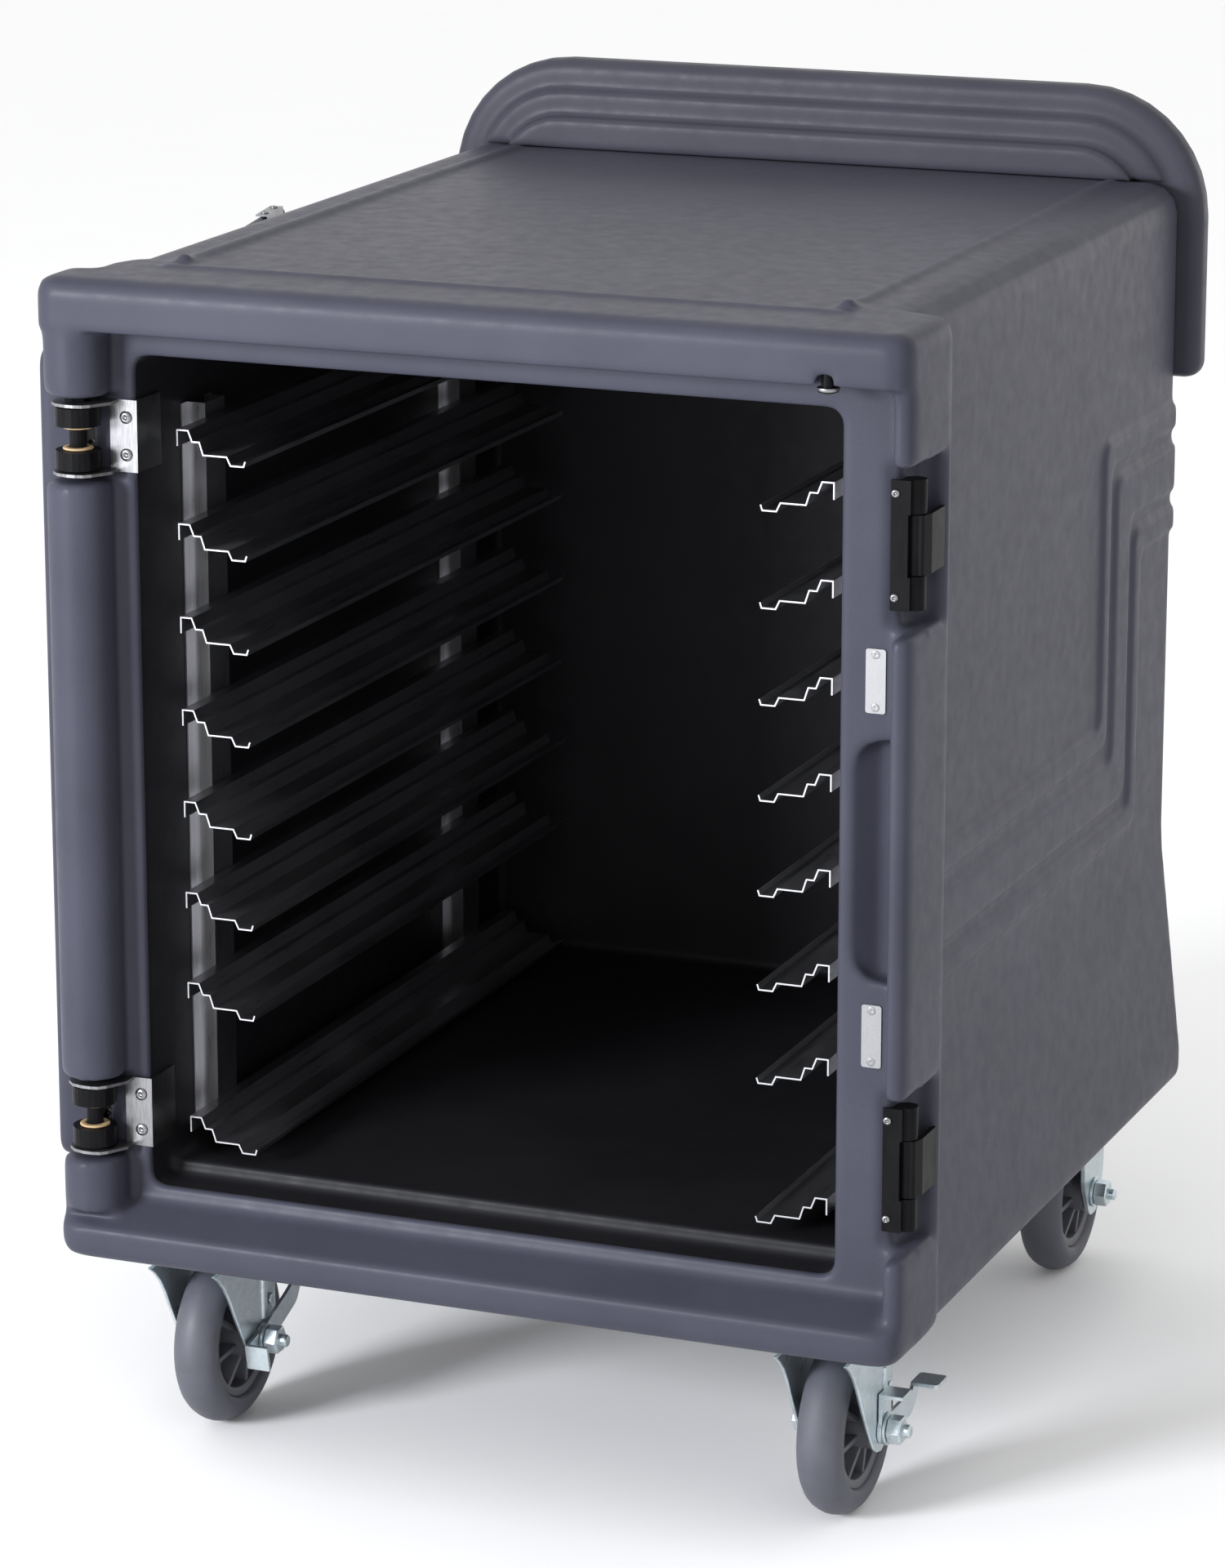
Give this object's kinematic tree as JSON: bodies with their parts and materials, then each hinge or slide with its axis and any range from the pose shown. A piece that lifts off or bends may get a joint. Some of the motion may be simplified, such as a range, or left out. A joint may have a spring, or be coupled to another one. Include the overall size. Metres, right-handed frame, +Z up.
{
  "type": "insulated food carrier",
  "caption": "Moulded insulated holding cabinet on casters: side-hung plug door stored open, stepped stainless tray rails inside, spring latches, raised push panel at the back",
  "frame": {"origin": "centre of the bounding box on the floor", "axes": "+Z up, the cabinet's mouth faces -Y, +X is to the right seen from the front"},
  "size_m": [0.8614, 0.8354, 1.06],
  "materials": {
    "moulded_poly": "fine granite-like pebble, dark slate grey",
    "liner_poly": "smooth moulded, darker grey",
    "foam": "closed-cell urethane foam, pale yellow",
    "seal_rubber": "soft matt",
    "stainless": "brushed along the length",
    "black_nylon": "satin",
    "zinc_plate": "bright zinc, slightly dulled",
    "wheel_poly": "grey moulded tread and core"
  },
  "bodies": {
    "cabinet": {"cabinet_shell": "moulded_poly", "rear_panel": "moulded_poly", "cabinet_liner": "liner_poly", "cabinet_foam": "foam", "rail_left_1": "stainless", "rail_left_2": "stainless", "rail_left_3": "stainless", "rail_left_4": "stainless", "rail_left_5": "stainless", "rail_left_6": "stainless", "rail_left_7": "stainless", "rail_left_8": "stainless", "rail_right_1": "stainless", "rail_right_2": "stainless", "rail_right_3": "stainless", "rail_right_4": "stainless", "rail_right_5": "stainless", "rail_right_6": "stainless", "rail_right_7": "stainless", "rail_right_8": "stainless", "upright_left_front": "stainless", "upright_left_rear": "stainless", "upright_right_front": "stainless", "upright_right_rear": "stainless", "hinge_bracket_upper": "stainless", "hinge_bracket_lower": "stainless", "strike_plate_upper": "stainless", "strike_plate_lower": "stainless", "vent_eyelet": "stainless", "hinge_pin_upper": "black_nylon", "hinge_pin_lower": "black_nylon", "latch_base_upper": "black_nylon", "latch_base_lower": "black_nylon", "caster_plate_front_left": "zinc_plate", "caster_plate_front_right": "zinc_plate", "caster_plate_rear_left": "zinc_plate", "caster_plate_rear_right": "zinc_plate", "caster_fork_rear_left": "zinc_plate", "caster_fork_rear_right": "zinc_plate"},
    "door": {"door_shell": "moulded_poly", "door_panel": "moulded_poly", "door_foam": "foam", "door_gasket": "seal_rubber", "door_lock_bracket": "stainless", "hinge_arm_upper": "black_nylon", "hinge_arm_lower": "black_nylon", "door_catch_upper": "stainless", "door_catch_lower": "stainless", "door_magnet_upper": "seal_rubber", "door_magnet_lower": "seal_rubber"},
    "latch_upper": {"latch_paddle_upper": "black_nylon"},
    "latch_lower": {"latch_paddle_lower": "black_nylon"},
    "swivel_front_left": {"caster_fork_front_left": "zinc_plate"},
    "brake_front_left": {"brake_pedal_front_left": "zinc_plate"},
    "swivel_front_right": {"caster_fork_front_right": "zinc_plate"},
    "brake_front_right": {"brake_pedal_front_right": "zinc_plate"},
    "wheel_front_left": {"caster_wheel_front_left": "wheel_poly"},
    "wheel_front_right": {"caster_wheel_front_right": "wheel_poly"},
    "wheel_rear_left": {"caster_wheel_rear_left": "wheel_poly"},
    "wheel_rear_right": {"caster_wheel_rear_right": "wheel_poly"}
  },
  "joints": [
    {"name": "door_hinge", "type": "hinge", "parent": "cabinet", "child": "door", "pos_m": [-0.26727, -0.39165, 0.576], "axis": [0, 0, 1], "range_deg": [-1, 259]},
    {"name": "latch_upper_swing", "type": "hinge", "parent": "cabinet", "child": "latch_upper", "pos_m": [0.41873, -0.36165, 0.816], "axis": [0, 0, -1], "range_deg": [0, 30], "stiffness_Nm_per_rad": 0.05},
    {"name": "latch_lower_swing", "type": "hinge", "parent": "cabinet", "child": "latch_lower", "pos_m": [0.41873, -0.36165, 0.324], "axis": [0, 0, -1], "range_deg": [0, 30], "stiffness_Nm_per_rad": 0.05},
    {"name": "caster_swivel_front_left", "type": "hinge", "parent": "cabinet", "child": "swivel_front_left", "pos_m": [-0.20527, -0.32565, 0.157], "axis": [0, 0, 1], "continuous": true},
    {"name": "wheel_spin_front_left", "type": "hinge", "parent": "swivel_front_left", "child": "wheel_front_left", "pos_m": [-0.20527, -0.28165, 0.074], "axis": [1, 0, 0], "continuous": true},
    {"name": "brake_press_front_left", "type": "hinge", "parent": "swivel_front_left", "child": "brake_front_left", "pos_m": [-0.17197, -0.28165, 0.074], "axis": [1, 0, 0], "range_deg": [-30, 0]},
    {"name": "caster_swivel_front_right", "type": "hinge", "parent": "cabinet", "child": "swivel_front_right", "pos_m": [0.34273, -0.32565, 0.157], "axis": [0, 0, 1], "continuous": true},
    {"name": "wheel_spin_front_right", "type": "hinge", "parent": "swivel_front_right", "child": "wheel_front_right", "pos_m": [0.34273, -0.28165, 0.074], "axis": [1, 0, 0], "continuous": true},
    {"name": "brake_press_front_right", "type": "hinge", "parent": "swivel_front_right", "child": "brake_front_right", "pos_m": [0.37603, -0.28165, 0.074], "axis": [1, 0, 0], "range_deg": [0, 30]},
    {"name": "wheel_spin_rear_left", "type": "hinge", "parent": "cabinet", "child": "wheel_rear_left", "pos_m": [-0.19127, 0.33435, 0.074], "axis": [1, 0, 0], "continuous": true},
    {"name": "wheel_spin_rear_right", "type": "hinge", "parent": "cabinet", "child": "wheel_rear_right", "pos_m": [0.32873, 0.33435, 0.074], "axis": [1, 0, 0], "continuous": true}
  ]
}
